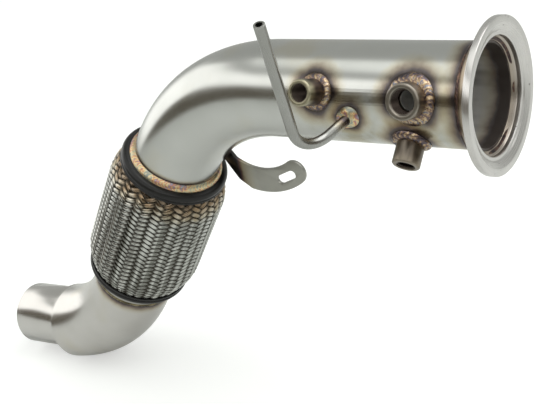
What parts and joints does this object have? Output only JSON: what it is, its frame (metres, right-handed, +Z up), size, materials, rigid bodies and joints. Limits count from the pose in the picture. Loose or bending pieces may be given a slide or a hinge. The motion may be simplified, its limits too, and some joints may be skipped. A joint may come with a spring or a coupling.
{
  "type": "turbo downpipe",
  "caption": "Bent stainless exhaust downpipe with a V-band inlet flange, sensor bosses, a hanger tab, a braided flex joint and a swaged outlet.",
  "frame": {"origin": "centre of the inlet flange's flat face", "axes": "+X points out of the inlet, the pipe bends down in the XZ plane, +Z is up and -Y is the side of the front and rear sensor bosses"},
  "size_m": [0.5744, 0.1733, 0.4088],
  "materials": {
    "machined_flange": "turned, bright",
    "weld_dark": "purple and brown heat tint",
    "pipe_steel": "brushed stainless with heat tint",
    "boss_steel": "turned, tinted dark",
    "weld_straw": "straw, purple and blue heat tint",
    "tube_steel": "satin",
    "bracket_steel": "satin sheet",
    "black_cap": "black satin",
    "braid_wire": "woven wire",
    "inner_steel": "plain"
  },
  "bodies": {
    "root": {"inlet_flange": "machined_flange", "flange_weld": "weld_dark", "flange_root_weld": "weld_dark", "inlet_pipe": "pipe_steel", "front_sensor_boss": "boss_steel", "rear_sensor_boss": "boss_steel", "lower_sensor_boss": "boss_steel", "front_boss_weld": "weld_straw", "rear_boss_weld": "weld_straw", "lower_boss_weld": "weld_straw", "pressure_tube": "tube_steel", "pressure_tube_weld": "weld_straw", "hanger_bracket": "bracket_steel", "bracket_weld": "weld_dark", "upper_flex_weld": "weld_straw", "lower_flex_weld": "weld_dark", "upper_flex_cap": "black_cap", "lower_flex_cap": "black_cap", "braid_sleeve": "braid_wire", "upper_neck": "inner_steel", "lower_neck": "inner_steel", "bellows": "inner_steel", "liner_hose": "inner_steel", "outlet_pipe": "pipe_steel"}
  },
  "joints": []
}
